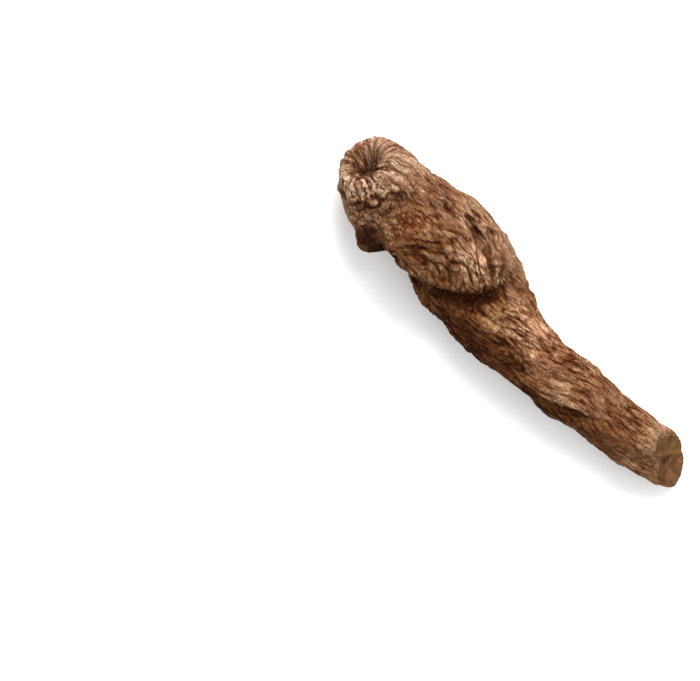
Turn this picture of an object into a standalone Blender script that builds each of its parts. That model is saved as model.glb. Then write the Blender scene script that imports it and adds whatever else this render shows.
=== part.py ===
"""A dried costus root lying on its side, as one solid grown in one piece.

One end is the crown, a sunken stem scar with pleats around it that turns upwards. Behind it the
root is thick and carries a lobe with a free edge, then it narrows at a neck and runs on as a
slimmer tail to an oblique cut. Lengths are in mm until the mesh is made, which is in metres.
+Z is up and +X runs from the crown to the tail. The origin is on the ground, under the middle
of the root's box.
"""

import bmesh
import bpy
import numpy as np
from mathutils import Vector, noise

NODE = "costus_root"
METRES_PER_MM = 0.001

# Sections of the body from the crown to the tail:
# the middle of the section (x, y, z), then half its width and half its height.
SECTIONS = (
    (-67.6, 4.2, 18.6, 9.4, 9.2),
    (-62.6, 3.2, 16.0, 11.8, 12.0),
    (-53.0, 0.4, 14.1, 13.8, 13.6),
    (-42.0, 2.6, 12.8, 12.8, 12.6),
    (-31.0, 3.4, 11.0, 14.6, 11.4),
    (-20.0, 0.4, 10.2, 14.3, 10.4),
    (-10.0, -2.6, 10.3, 12.0, 9.9),
    (0.0, -3.6, 10.5, 10.9, 9.5),
    (10.0, -3.7, 10.2, 9.0, 8.9),
    (20.0, -3.0, 10.0, 9.3, 8.8),
    (30.0, -2.6, 9.5, 8.9, 8.6),
    (40.0, -1.9, 8.7, 8.1, 8.2),
    (50.0, -0.4, 7.7, 7.7, 7.9),
    (60.0, 1.7, 7.2, 7.4, 7.6),
    (70.0, 3.3, 7.0, 7.2, 7.4),
    (80.0, 4.8, 6.9, 7.1, 7.2),
)
NECK_SECTION = 6.0
LAST_SECTION = 14.0
SECTION_SPACING = 10.0

# The grid that the skin is made on: points around, and rings on each stretch.
POINTS_AROUND = 80
RINGS_THICK = 34
RINGS_TAIL = 24
CUT_RING_SHARES = (0.94, 0.7, 0.42, 0.15)

# The crown's profile from its outer edge into the sunken scar:
# the share of the first section's radius, and the height above that section.
CROWN_PROFILE = (
    (0.985, 0.9),
    (0.945, 1.7),
    (0.87, 2.4),
    (0.76, 2.8),
    (0.62, 2.7),
    (0.48, 2.1),
    (0.35, 0.8),
    (0.23, -1.4),
    (0.13, -3.6),
    (0.05, -4.6),
)
# The scar's middle lies off the first section's, towards the knob.
SCAR_OFF_CENTRE = (-0.3, -1.5, 0.4)
CROWN_PLEATS = 16
PLEAT_DEPTH = 0.45

# The collar of knobs below the crown: how many sections in from the end, half its width in
# sections, its height, the direction around that it faces, and the knobs in a full turn.
COLLAR_AT = 0.42
COLLAR_WIDTH = 0.3
COLLAR_HEIGHT = 1.3
COLLAR_FACING = 2.35
COLLAR_KNOBS = 15

# The oblique cut across the tail, how far its edge is worn back, and how far its middle has
# shrunk inwards.
CUT_POINT = (62.8, 0.8, 7.0)
CUT_NORMAL = (0.62, 0.42, 0.66)
CUT_WEAR = 0.7
CUT_DISH = 0.8

# Relief raised on the skin: its height, its width across and its length along the root.
SWELLS = (1.3, 12.0, 20.0)
FURROWS = (1.7, 3.8, 14.0)
WRINKLES = (0.9, 2.4, 7.5)
# Furrows are sharp at the bottom: noise folded at zero, set level by its mean.
FOLDED_MEAN = 0.17
TWIST_PER_MM = 0.014
# On the crown's side of this the relief is short and knobbly, and it fades towards the scar.
KNOBBLY_UP_TO = -47.0
KNOBBLY_LENGTH = 0.45
FADED_BY = -74.0

# The flap on the tail, whose edge slants across it: where it begins and ends along the root, the
# directions around of its edge there, and the tail's radius. Then how far it is raised, how far
# up that reaches, how deep the hollow below its edge is, how far down that reaches, and how wide
# the step between them is.
FLAP_FROM, FLAP_TO = 12.0, 31.0
FLAP_TURNS = (2.46, 1.85)
FLAP_RADIUS = 9.0
FLAP_RAISED, FLAP_UP = 0.9, 3.5
FLAP_HOLLOW, FLAP_DOWN = 1.5, 3.2
FLAP_STEP = 0.9

# The lobe on the upper side, an oval in plan: its middle, the direction of its longer axis, half
# its length and half its breadth.
LOBE_MIDDLE = (-35.3, 1.4)
LOBE_ALONG = (0.93, 0.37)
LOBE_REACH = (19.0, 8.5)
# How far it is raised, how far its free edge hangs over, and how deep the hollow below that is.
LOBE_RAISED = 4.4
LOBE_OVERHANG = 2.2
LOBE_HOLLOW = 2.6
# The free edge is steep, and the edge on the other side slopes off into the shoulder.
FREE_EDGE_WIDTH = 2.2
BLENDED_EDGE_WIDTH = 10.0

# A long furrow on the shoulder: its two ends, half its width, and its depth.
CLEFT = ((-36.5, 11.2), (-25.4, 7.8), 2.1, 4.3)
# Pits beside the crown: the place, the radius and the depth.
PITS = (
    ((-57.3, 3.2), 1.8, 3.2),
    ((-56.5, -3.0), 2.6, 1.5),
)


class Push:
    """A soft push on the skin around a point: what lies within reach moves by the same vector,
    fading to nothing at the edge of the reach."""

    def __init__(self, middle, reach, move):
        self.middle = np.array(middle, float)
        self.reach = np.array(reach, float)
        self.move = np.array(move, float)

    def apply(self, points):
        distance = np.linalg.norm((points - self.middle) / self.reach, axis=-1)
        weight = np.clip(1.0 - distance**2, 0.0, 1.0) ** 2
        points += weight[..., None] * self.move


PUSHES = (
    # A knob where a side root broke off, and the deep hollow between it and the lobe.
    Push((-51.0, -13.0, 10.0), (6.5, 7.0, 9.0), (0.0, -3.2, -0.3)),
    Push((-46.2, -12.0, 20.0), (5.4, 7.5, 9.0), (0.8, 5.0, -4.0)),
    Push((-43.5, -12.0, 10.0), (4.5, 6.5, 9.0), (0.3, 2.0, 0.0)),
)


def clear_scene():
    for thing in list(bpy.data.objects):
        bpy.data.objects.remove(thing)


def unit(vectors):
    vectors = np.asarray(vectors, float)
    return vectors / np.linalg.norm(vectors, axis=-1, keepdims=True)


def rise(value):
    """A soft step from 0 to 1 around value 0, most of it between -0.5 and 0.5."""
    return 1.0 / (1.0 + np.exp(-6.0 * np.clip(value, -8.0, 8.0)))


def read_spline(rows, at):
    """A smooth curve that follows the rows, read at parameters counted in rows. It rounds off
    their corners a little, so that neighbouring sections never cross inside a bend."""
    rows = np.asarray(rows, float)
    padded = np.vstack([2 * rows[0] - rows[1], rows, 2 * rows[-1] - rows[-2]])
    at = np.asarray(at, float)
    before = np.clip(at.astype(int), 0, len(rows) - 2)
    share = (at - before)[..., None]
    a, b, c, d = (padded[before + step] for step in range(4))
    rest = 1.0 - share
    near = rest**3 * a + (4.0 - 6.0 * share**2 + 3.0 * share**3) * b
    far = share**3 * d + (4.0 - 6.0 * rest**2 + 3.0 * rest**3) * c
    return (near + far) / 6.0


def section_frames(at):
    """The middle, the direction along, the directions sideways and upwards, and the half width
    and half height of the sections at these parameters."""
    step = 0.01
    here = read_spline(SECTIONS, at)
    ahead = read_spline(SECTIONS, np.asarray(at) + step)
    behind = read_spline(SECTIONS, np.asarray(at) - step)
    along = unit((ahead - behind)[..., :3])
    sideways = unit(np.cross((0.0, 0.0, 1.0), along))
    upwards = np.cross(along, sideways)
    return here[..., :3], along, sideways, upwards, here[..., 3], here[..., 4]


def outward(at, around):
    """The middle of each section, the direction outwards, and the plain radius that way."""
    middle, _, sideways, upwards, wide, tall = section_frames(at)
    out = np.cos(around)[..., None] * sideways + np.sin(around)[..., None] * upwards
    radius = 1.0 / np.hypot(np.cos(around) / wide, np.sin(around) / tall)
    return middle, out, radius


def relief(place):
    """Height of the relief at one place: soft swells, then two sizes of sharp furrow."""
    x, y, z = place
    twist = TWIST_PER_MM * x
    across = (y * np.cos(twist) - z * np.sin(twist), y * np.sin(twist) + z * np.cos(twist))
    along = max(x, KNOBBLY_UP_TO) + min(x - KNOBBLY_UP_TO, 0.0) / KNOBBLY_LENGTH

    def layer(size, seed):
        _, width, length = size
        scaled = Vector((along / length, across[0] / width, across[1] / width))
        return noise.noise(scaled + Vector((seed, seed, seed)))

    height = SWELLS[0] * layer(SWELLS, 0.0)
    for size, seed in ((FURROWS, 11.3), (WRINKLES, 23.7)):
        height += size[0] * (abs(layer(size, seed)) - FOLDED_MEAN)
    fade = np.clip((x - FADED_BY) / (KNOBBLY_UP_TO - FADED_BY), 0.0, 1.0)
    return height * fade


def reliefs(places):
    return np.array([relief(place) for place in places.reshape(-1, 3)]).reshape(places.shape[:-1])


def collar(at, around):
    """Height of the collar of knobs, which fades out on the far side."""
    across = np.exp(-(((at - COLLAR_AT) / COLLAR_WIDTH) ** 2))
    facing = np.clip(0.3 + np.cos(around - COLLAR_FACING), 0.0, 1.0)
    knobs = 0.6 + 0.4 * np.cos(COLLAR_KNOBS * around + 2.0 * np.sin(3.0 * around))
    return COLLAR_HEIGHT * across * facing * knobs


def flap(places, around):
    """Height of the flap: raised above its edge, and a hollow below it."""
    share = (places[..., 0] - FLAP_FROM) / (FLAP_TO - FLAP_FROM)
    edge = FLAP_TURNS[0] + share * (FLAP_TURNS[1] - FLAP_TURNS[0])
    below = FLAP_RADIUS * (around - edge)
    step = rise(below / FLAP_STEP)
    raised = FLAP_RAISED * np.exp(-((below / FLAP_UP) ** 2)) * (1.0 - step)
    hollow = FLAP_HOLLOW * np.exp(-((below / FLAP_DOWN) ** 2)) * step
    return rise(share / 0.3) * rise((1.0 - share) / 0.3) * (raised - hollow)


def skin(at, around):
    middle, out, radius = outward(at, around)
    plain = middle + radius[..., None] * out
    height = reliefs(plain) + collar(at, around) + flap(plain, around)
    return plain + height[..., None] * out


def cut_parameters(around):
    """Where the cut's plane meets the plain skin, in each direction around."""
    normal = unit(CUT_NORMAL)
    at = np.full(around.shape, LAST_SECTION)
    for _ in range(12):
        middle, out, radius = outward(at, around)
        gap = (middle + radius[:, None] * out - CUT_POINT) @ normal
        at = at - gap / SECTION_SPACING
    return at


def body_rings(around):
    """Rings from the first section to the cut. On the tail they lean over by and by, so that
    the last ring lies in the cut's plane."""
    thick = np.linspace(0.0, NECK_SECTION, RINGS_THICK, endpoint=False)
    tail_shares = np.linspace(0.0, 1.0, RINGS_TAIL)
    tail = NECK_SECTION + tail_shares[:, None] * (cut_parameters(around) - NECK_SECTION)
    at = np.concatenate([np.broadcast_to(thick[:, None], (RINGS_THICK, POINTS_AROUND)), tail])
    rings = skin(at, np.broadcast_to(around, at.shape))
    normal = unit(CUT_NORMAL)
    rings[-1] -= ((rings[-1] - CUT_POINT) @ normal)[:, None] * normal
    return rings


def pleat(angle):
    """Uneven pleats around the crown's scar, from -1 to 1."""
    side = Vector((np.cos(angle), np.sin(angle), 0.0))
    drift = noise.noise(side * 1.3 + Vector((0.0, 0.0, 4.2)))
    strength = 0.8 + 0.9 * noise.noise(side * 2.1 + Vector((0.0, 0.0, 9.7)))
    return strength * np.cos(CROWN_PLEATS * angle + 4.0 * drift)


def crown_rings(around):
    """Rings from the crown's sunken middle out to its edge."""
    start = np.zeros(around.shape)
    middle, out, radius = outward(start, around)
    along = section_frames(start)[1]
    edge = radius + reliefs(middle + radius[:, None] * out)
    folds = np.array([pleat(angle) for angle in around])
    rings = []
    for share, height in reversed(CROWN_PROFILE):
        fade = np.clip((share - 0.04) / 0.25, 0.0, 1.0) * np.clip((1.0 - share) / 0.1, 0.0, 1.0)
        ring = middle + (1.0 - share) * np.array(SCAR_OFF_CENTRE) + (edge * share)[:, None] * out
        rings.append(ring - (height + PLEAT_DEPTH * folds * fade)[:, None] * along)
    return np.array(rings)


def cut_rings(edge):
    """Rings on the cut, from its edge to near its middle, which has shrunk inwards."""
    middle = edge.mean(axis=0)
    normal = unit(CUT_NORMAL)
    return np.array([
        middle + (edge - middle) * share - normal * CUT_DISH * (1.0 - share**2)
        for share in CUT_RING_SHARES
    ])


def raise_lobe(points):
    """Lifts the lobe off the upper side, draws its free edge out over the neck, and hollows the
    skin below that edge."""
    lengthways = unit(LOBE_ALONG)
    axes = np.array([lengthways, (-lengthways[1], lengthways[0])])
    scaled = (points[..., :2] - LOBE_MIDDLE) @ axes.T / LOBE_REACH
    distance = np.maximum(np.linalg.norm(scaled, axis=-1), 1e-6)
    gradient = scaled / distance[..., None] / LOBE_REACH
    steepness = np.linalg.norm(gradient, axis=-1)
    direction = (gradient / steepness[..., None]) @ axes
    inside = (1.0 - distance) / steepness
    lower = -scaled[..., 1] - 0.65 * np.maximum(scaled[..., 0], 0.0)
    free = rise((lower / distance - 0.1) / 0.5)
    width = BLENDED_EDGE_WIDTH + (FREE_EDGE_WIDTH - BLENDED_EDGE_WIDTH) * free
    on_top = rise((points[..., 2] - 13.0) / 6.0)
    points[..., 2] += LOBE_RAISED * rise(inside / width) * on_top
    rim = np.exp(-(((inside - 0.6) / 2.2) ** 2)) * rise((inside + 0.4) / 1.4)
    points[..., :2] += (LOBE_OVERHANG * rim * free * on_top)[..., None] * direction
    below = np.exp(-(((inside + 3.2) / 3.0) ** 2))
    points[..., 2] -= LOBE_HOLLOW * below * free * on_top


def carve(points):
    """Presses the cleft on the shoulder and the pits by the crown into the upper side."""
    plan = points[..., :2]
    on_top = rise((points[..., 2] - 15.0) / 6.0)
    start, end = (np.array(place) for place in CLEFT[:2])
    half_width, depth = CLEFT[2:]
    line = end - start
    share = np.clip(((plan - start) @ line) / (line @ line), 0.0, 1.0)
    distance = np.linalg.norm(plan - (start + share[..., None] * line), axis=-1)
    fade = np.sin(np.pi * (0.1 + 0.8 * share))
    pressed = depth * fade * np.exp(-((distance / half_width) ** 2))
    for place, radius, deep in PITS:
        distance = np.linalg.norm(plan - place, axis=-1)
        pressed += deep * np.exp(-((distance / radius) ** 2))
    points[..., 2] -= pressed * on_top


def skin_mesh(rings):
    """A closed mesh from rings of points: quads between the rings, and a fan at each end."""
    mesh = bmesh.new()
    grid = [[mesh.verts.new(point * METRES_PER_MM) for point in ring] for ring in rings]
    pairs = [(index, (index + 1) % POINTS_AROUND) for index in range(POINTS_AROUND)]
    for near, far in zip(grid, grid[1:]):
        for here, after in pairs:
            mesh.faces.new((near[here], near[after], far[after], far[here]))
    for corners, ring in ((grid[0], rings[0]), (grid[-1], rings[-1])):
        tip = mesh.verts.new(ring.mean(axis=0) * METRES_PER_MM)
        for here, after in pairs:
            mesh.faces.new((corners[here], corners[after], tip))
    bmesh.ops.recalc_face_normals(mesh, faces=mesh.faces)
    made = bpy.data.meshes.new(NODE)
    mesh.to_mesh(made)
    mesh.free()
    made.shade_smooth()
    return made


def root_material():
    material = bpy.data.materials.new("dried_root")
    material.use_nodes = True
    shader = material.node_tree.nodes["Principled BSDF"]
    shader.inputs["Base Color"].default_value = (0.25, 0.13, 0.07, 1.0)
    shader.inputs["Roughness"].default_value = 0.85
    shader.inputs["Metallic"].default_value = 0.0
    return material


def build_root():
    around = np.linspace(0.0, 2.0 * np.pi, POINTS_AROUND, endpoint=False)
    body = body_rings(around)
    cut = cut_rings(body[-1])
    body[-1] -= CUT_WEAR * unit(CUT_NORMAL)
    rings = np.concatenate([crown_rings(around), body, cut])
    raise_lobe(rings)
    for push in PUSHES:
        push.apply(rings)
    carve(rings)
    # What would reach below the ground has dried flat on it.
    rings[..., 2] = np.maximum(rings[..., 2], 0.0)
    low, high = rings.min(axis=(0, 1)), rings.max(axis=(0, 1))
    middle = (low + high) / 2.0
    rings[..., :2] -= middle[:2]
    mesh = skin_mesh(rings)
    mesh.materials.append(root_material())
    root = bpy.data.objects.new(NODE, mesh)
    bpy.context.scene.collection.objects.link(root)
    print("size in mm", (high - low).round(1), "middle of the box was at", middle.round(2))
    return root


clear_scene()
build_root()
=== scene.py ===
# %% [markdown]
# # A dried costus root
#
# A costus root is dug up, cut to a length that fits a basket and dried whole. As it dries it
# shrinks far more than its woody strands do, so its skin is drawn into furrows, ridges and
# plates. This lesson makes one such root, which lies on a pale table: a sunken crown where the
# stem stood, a thick shoulder with a lobe, a neck, and a slimmer tail with an oblique cut.
#
# The rough solid of the root is loaded first. It has the right size, place and main forms, but
# its skin is coarse. We read its box and print it.

# %% Load the rough solid
import math

import bpy
import numpy as np
from mathutils import Matrix, Vector, noise


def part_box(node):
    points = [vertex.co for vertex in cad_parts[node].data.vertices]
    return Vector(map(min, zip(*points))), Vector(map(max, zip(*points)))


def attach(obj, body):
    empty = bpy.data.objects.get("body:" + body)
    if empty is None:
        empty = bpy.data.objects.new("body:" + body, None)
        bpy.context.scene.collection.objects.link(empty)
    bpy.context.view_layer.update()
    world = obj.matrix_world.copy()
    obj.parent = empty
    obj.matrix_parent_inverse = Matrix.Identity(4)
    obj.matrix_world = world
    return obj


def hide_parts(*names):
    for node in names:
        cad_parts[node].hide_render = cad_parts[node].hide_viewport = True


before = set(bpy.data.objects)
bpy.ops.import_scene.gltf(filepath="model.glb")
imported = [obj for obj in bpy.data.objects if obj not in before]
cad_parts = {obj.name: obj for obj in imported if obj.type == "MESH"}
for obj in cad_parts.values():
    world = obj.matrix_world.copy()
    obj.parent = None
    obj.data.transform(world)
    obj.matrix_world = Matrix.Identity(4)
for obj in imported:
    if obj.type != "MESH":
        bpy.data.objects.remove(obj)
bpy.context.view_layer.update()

NODE = "costus_root"
MM = 0.001


def box_lists(box):
    """The two corners of a box as plain lists."""
    return [[float(value) for value in corner] for corner in box]


ROOT_LOW, ROOT_HIGH = (np.array(corner) / MM for corner in box_lists(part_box(NODE)))
print("rough solid in mm", ROOT_LOW.round(2), ROOT_HIGH.round(2))

# %% [markdown]
# ## The camera
#
# The root is seen from above, from the side of its crown, so that the sunken scar faces us. The
# camera also leans over on its own axis, which lays the root across the picture from the upper
# left to the lower right. We could track the camera to a target, but a tracked camera is always
# upright. Instead we work out its three axes: to the right, up, and back towards the viewer.

# %% The axes of the picture
TILT = math.radians(20.0)
ROLL = math.radians(43.0)
ALONG = Vector((math.cos(TILT), 0.0, math.sin(TILT)))
ACROSS = Vector((0.0, 1.0, 0.0))
BACK = ALONG.cross(ACROSS)
RIGHT = math.cos(ROLL) * ALONG + math.sin(ROLL) * ACROSS
UP = math.cos(ROLL) * ACROSS - math.sin(ROLL) * ALONG
print("the camera looks along", [round(value, 2) for value in -BACK])

# %% [markdown]
# A long lens from far away shows the crown and the tail at the same scale. We choose how much of
# the root one pixel covers. The width of the picture and the distance then give the lens.

# %% Hang the camera
IMAGE_WIDTH_PX = 700
MM_PER_PIXEL = 0.28
VIEW_WIDTH = IMAGE_WIDTH_PX * MM_PER_PIXEL * MM
SENSOR_MM = 36.0
DISTANCE = 2.4
CLIP_START = 0.05
# The section table below is given in a frame whose zero lies here in the box of the root.
TABLE_ZERO = Vector((1.79, -1.33, 0.0)) * MM
# The middle of the picture, in millimetres along, across and back from that zero.
AIM_ALONG, AIM_ACROSS, AIM_BACK = -28.5, -35.1, 12.0
AIM = TABLE_ZERO + (AIM_ALONG * ALONG + AIM_ACROSS * ACROSS + AIM_BACK * BACK) * MM


def add_camera():
    data = bpy.data.cameras.new("camera")
    data.sensor_width = SENSOR_MM
    data.lens = SENSOR_MM * DISTANCE / VIEW_WIDTH
    data.clip_start = CLIP_START
    camera = bpy.data.objects.new("camera", data)
    turned = Matrix((RIGHT, UP, BACK)).transposed().to_4x4()
    camera.matrix_world = Matrix.Translation(AIM + BACK * DISTANCE) @ turned
    bpy.context.scene.collection.objects.link(camera)
    bpy.context.scene.camera = camera
    return camera


print("lens in mm", round(add_camera().data.lens, 1))

# %% [markdown]
# ## The table
#
# The table is a plain white sheet, wide enough that its edge never shows. It is only there to
# catch the shadow.

# %% Lay the table
TABLE_HALF = 6.0
TABLE_WHITE = (0.9, 0.9, 0.9, 1.0)
TABLE_ROUGHNESS = 0.7


def add_table():
    mesh = bpy.data.meshes.new("table")
    corners = [(x * TABLE_HALF, y * TABLE_HALF, 0.0) for x, y in ((-1, -1), (1, -1), (1, 1), (-1, 1))]
    mesh.from_pydata(corners, [], [(0, 1, 2, 3)])
    material = bpy.data.materials.new("table_white")
    material.use_nodes = True
    shader = material.node_tree.nodes["Principled BSDF"]
    shader.inputs["Base Color"].default_value = TABLE_WHITE
    shader.inputs["Roughness"].default_value = TABLE_ROUGHNESS
    mesh.materials.append(material)
    table = bpy.data.objects.new("table", mesh)
    bpy.context.scene.collection.objects.link(table)
    return table


print("table in m", [round(side, 1) for side in add_table().dimensions])

# %% [markdown]
# ## The light
#
# The light is that of a small photo studio: one large soft lamp beyond the root, which throws the
# shadow of each ridge towards us, and a bright, even sky that keeps the shadows pale. Together
# they overexpose the table, so that it turns as white as a studio backdrop. The Standard view
# transform leaves the browns as we mix them, where a filmic one would make them greyer.

# %% Hang the lamp and the sky
KEY_PLACE = UP * 0.45 + RIGHT * 0.16 + BACK * 0.58
KEY_SIZE = 0.5
KEY_WATTS = 11.5
SKY_STRENGTH = 1.15


def add_lamp(name, place, size, watts):
    data = bpy.data.lights.new(name, "AREA")
    data.size = size
    data.energy = watts
    lamp = bpy.data.objects.new(name, data)
    facing_root = (-place).to_track_quat("-Z", "Y").to_matrix().to_4x4()
    lamp.matrix_world = Matrix.Translation(place) @ facing_root
    bpy.context.scene.collection.objects.link(lamp)


def add_sky(strength):
    world = bpy.data.worlds.new("studio_sky")
    world.use_nodes = True
    background = world.node_tree.nodes["Background"]
    background.inputs["Color"].default_value = (1.0, 1.0, 1.0, 1.0)
    background.inputs["Strength"].default_value = strength
    bpy.context.scene.world = world


add_lamp("key", KEY_PLACE, KEY_SIZE, KEY_WATTS)
add_sky(SKY_STRENGTH)
bpy.context.scene.view_settings.view_transform = "Standard"

# %% [markdown]
# ## The big form, section by section
#
# A root thickens ring upon ring around its core, so a row of oval sections on a bent centre line
# describes it well. Sculpting by hand would also work, but a table of sections can be corrected
# number by number. Each row holds the middle of a section, half its width and half its height,
# in millimetres, from the crown to the tail.

# %% The table of sections
SECTIONS = (
    (-67.6, 4.2, 18.6, 9.4, 9.2),
    (-62.6, 3.2, 16.0, 11.8, 12.0),
    (-53.0, 0.4, 14.1, 13.8, 13.6),
    (-42.0, 2.6, 12.8, 12.8, 12.6),
    (-31.0, 3.4, 11.0, 14.6, 11.4),
    (-20.0, 0.4, 10.2, 14.3, 10.4),
    (-10.0, -2.6, 10.3, 12.0, 9.9),
    (0.0, -3.6, 10.5, 10.9, 9.5),
    (10.0, -3.7, 10.2, 9.0, 8.9),
    (20.0, -3.0, 10.0, 9.3, 8.8),
    (30.0, -2.6, 9.5, 8.9, 8.6),
    (40.0, -1.9, 8.7, 8.1, 8.2),
    (50.0, -0.4, 7.7, 7.7, 7.9),
    (60.0, 1.7, 7.2, 7.4, 7.6),
    (70.0, 3.3, 7.0, 7.2, 7.4),
    (80.0, 4.8, 6.9, 7.1, 7.2),
)
print("sections", len(SECTIONS), "from", SECTIONS[0][0], "to", SECTIONS[-1][0], "mm")

# %% [markdown]
# A smooth curve through the rows gives every section in between. We use a B-spline, which passes
# close to its rows and never kinks at one. Each section then gets a frame of its own: along the
# centre line, sideways and upwards. An angle around the section picks a direction outwards.

# %% Read the sections
SPLINE_STEP = 0.01


def unit(vectors):
    vectors = np.asarray(vectors, float)
    return vectors / np.linalg.norm(vectors, axis=-1, keepdims=True)


def read_spline(rows, at):
    """A smooth curve that follows the rows, read at parameters counted in rows."""
    rows = np.asarray(rows, float)
    padded = np.vstack([2 * rows[0] - rows[1], rows, 2 * rows[-1] - rows[-2]])
    at = np.asarray(at, float)
    before = np.clip(at.astype(int), 0, len(rows) - 2)
    share = (at - before)[..., None]
    a, b, c, d = (padded[before + step] for step in range(4))
    rest = 1.0 - share
    near_part = rest**3 * a + (4.0 - 6.0 * share**2 + 3.0 * share**3) * b
    far_part = share**3 * d + (4.0 - 6.0 * rest**2 + 3.0 * rest**3) * c
    return (near_part + far_part) / 6.0


def section_frames(at):
    """Middle, direction along, sideways and upwards, half width and half height."""
    here = read_spline(SECTIONS, at)
    ahead = read_spline(SECTIONS, np.asarray(at) + SPLINE_STEP)
    behind = read_spline(SECTIONS, np.asarray(at) - SPLINE_STEP)
    along = unit((ahead - behind)[..., :3])
    sideways = unit(np.cross((0.0, 0.0, 1.0), along))
    upwards = np.cross(along, sideways)
    return here[..., :3], along, sideways, upwards, here[..., 3], here[..., 4]


def outward(at, around):
    """Middle of each section, direction outwards, and the plain radius that way."""
    middle, _, sideways, upwards, wide, tall = section_frames(at)
    out = np.cos(around)[..., None] * sideways + np.sin(around)[..., None] * upwards
    radius = 1.0 / np.hypot(np.cos(around) / wide, np.sin(around) / tall)
    return middle, out, radius


print("the centre line starts at", section_frames(np.zeros(1))[0][0].round(2), "mm")

# %% [markdown]
# ## Noise that runs with the grain
#
# The woody strands run along the root, so every furrow is longer than it is wide, and the strands
# wind a little around the core. We read smooth noise at places that are squeezed along the root
# and turned around it. Folding the noise at zero gives a sharp valley wherever it changes sign,
# which is how a furrow looks between two swollen ridges.

# %% Noise helpers
STEEPNESS = 6.0


def soft_step(value, low, high):
    """0 below the low value, 1 above the high one, and a smooth climb in between."""
    share = np.clip((value - low) / (high - low), 0.0, 1.0)
    return share * share * (3.0 - 2.0 * share)


def rise(value):
    """A soft step from 0 to 1 around value 0, most of it between -0.5 and 0.5."""
    return 1.0 / (1.0 + np.exp(-STEEPNESS * np.clip(value, -8.0, 8.0)))


def read_noise(places, seed):
    """Smooth noise at many places, mostly between -0.6 and 0.6."""
    offset = np.array((seed, seed, seed))
    flat = (places.reshape(-1, 3) + offset).tolist()
    return np.array([noise.noise(place) for place in flat]).reshape(places.shape[:-1])


def squeeze(along, across, width, length):
    """Places for noise whose blobs are this wide across the grain and this long along it."""
    return np.stack([along / length, across[0] / width, across[1] / width], axis=-1)


def turn(y, z, angle):
    return y * np.cos(angle) - z * np.sin(angle), y * np.sin(angle) + z * np.cos(angle)


print("noise at one place", round(noise.noise((0.3, 0.4, 0.5)), 3))

# %% [markdown]
# ## The large furrows
#
# These are the forms that the hand would feel: soft swells as long as a thumb, furrows about four
# millimetres apart, and wrinkles at half that. Towards the crown they shorten into knobs and
# fade, because the tissue there never stretched along the root.

# %% Relief of the large furrows
# Height, width and length in millimetres.
SWELLS = (1.3, 12.0, 20.0)
FURROWS = (1.7, 3.8, 14.0)
WRINKLES = (0.9, 2.4, 7.5)
FURROW_SEED = 11.3
WRINKLE_SEED = 23.7
FOLDED_MEAN = 0.17
TWIST_PER_MM = 0.014
KNOBBLY_UP_TO = -47.0
KNOBBLY_LENGTH = 0.45
FADED_BY = -74.0


def relief(places):
    x, y, z = np.moveaxis(places, -1, 0)
    across = turn(y, z, TWIST_PER_MM * x)
    along = np.maximum(x, KNOBBLY_UP_TO) + np.minimum(x - KNOBBLY_UP_TO, 0.0) / KNOBBLY_LENGTH
    height, width, length = SWELLS
    total = height * read_noise(squeeze(along, across, width, length), 0.0)
    for (height, width, length), seed in ((FURROWS, FURROW_SEED), (WRINKLES, WRINKLE_SEED)):
        folded = np.abs(read_noise(squeeze(along, across, width, length), seed))
        total += height * (folded - FOLDED_MEAN)
    return total * np.clip((x - FADED_BY) / (KNOBBLY_UP_TO - FADED_BY), 0.0, 1.0)


print("relief at the shoulder", relief(np.array([[-30.0, 5.0, 22.0]])).round(2), "mm")

# %% [markdown]
# ## The collar below the crown
#
# Old leaf bases left a swollen ring just below the crown, which broke up into knobs as it dried.
# It stands out most towards the viewer and runs out at the back. A bell curve along the root
# gives the ring, and a wave around it the knobs. A second, slower wave spaces them unevenly.

# %% Height of the collar
COLLAR_AT = 0.42
COLLAR_WIDTH = 0.3
COLLAR_HEIGHT = 1.3
COLLAR_FACING = 2.35
COLLAR_PAST_SIDE = 0.3
COLLAR_KNOBS = 15
KNOB_SHARE = 0.4


def collar(at, around):
    across = np.exp(-(((at - COLLAR_AT) / COLLAR_WIDTH) ** 2))
    facing = np.clip(COLLAR_PAST_SIDE + np.cos(around - COLLAR_FACING), 0.0, 1.0)
    wave = np.cos(COLLAR_KNOBS * around + 2.0 * np.sin(3.0 * around))
    knobs = (1.0 - KNOB_SHARE) + KNOB_SHARE * wave
    return COLLAR_HEIGHT * across * facing * knobs


print("highest collar", collar(COLLAR_AT, np.linspace(0.0, 6.3, 200)).max().round(2), "mm")

# %% [markdown]
# ## The flap on the tail
#
# Where the neck meets the tail, a strip of bark has come loose along its lower edge. It stands up
# a little, and the wood below it has shrunk into a hollow. The edge climbs along the side that
# faces the viewer, so we measure how far below it each place lies, along the skin. Noise added to
# that distance makes the edge ragged.

# %% Height of the flap
FLAP_FROM, FLAP_TO = 12.0, 31.0
FLAP_TURNS = (2.46, 1.85)
FLAP_RADIUS = 9.0
FLAP_RAISED, FLAP_UP = 0.9, 3.5
FLAP_HOLLOW, FLAP_DOWN = 1.5, 3.2
FLAP_STEP = 0.9
FLAP_RAGGED, RAG_SIZE = 1.1, 2.6
FLAP_ENDS = 0.3


def below_flap(places, around):
    """How far below the edge of the flap each place lies, and how much of the flap is there."""
    share = (places[..., 0] - FLAP_FROM) / (FLAP_TO - FLAP_FROM)
    edge = FLAP_TURNS[0] + share * (FLAP_TURNS[1] - FLAP_TURNS[0])
    ragged = FLAP_RAGGED * read_noise(places / RAG_SIZE, 41.0)
    there = rise(share / FLAP_ENDS) * rise((1.0 - share) / FLAP_ENDS)
    return FLAP_RADIUS * (around - edge) + ragged, there


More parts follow.
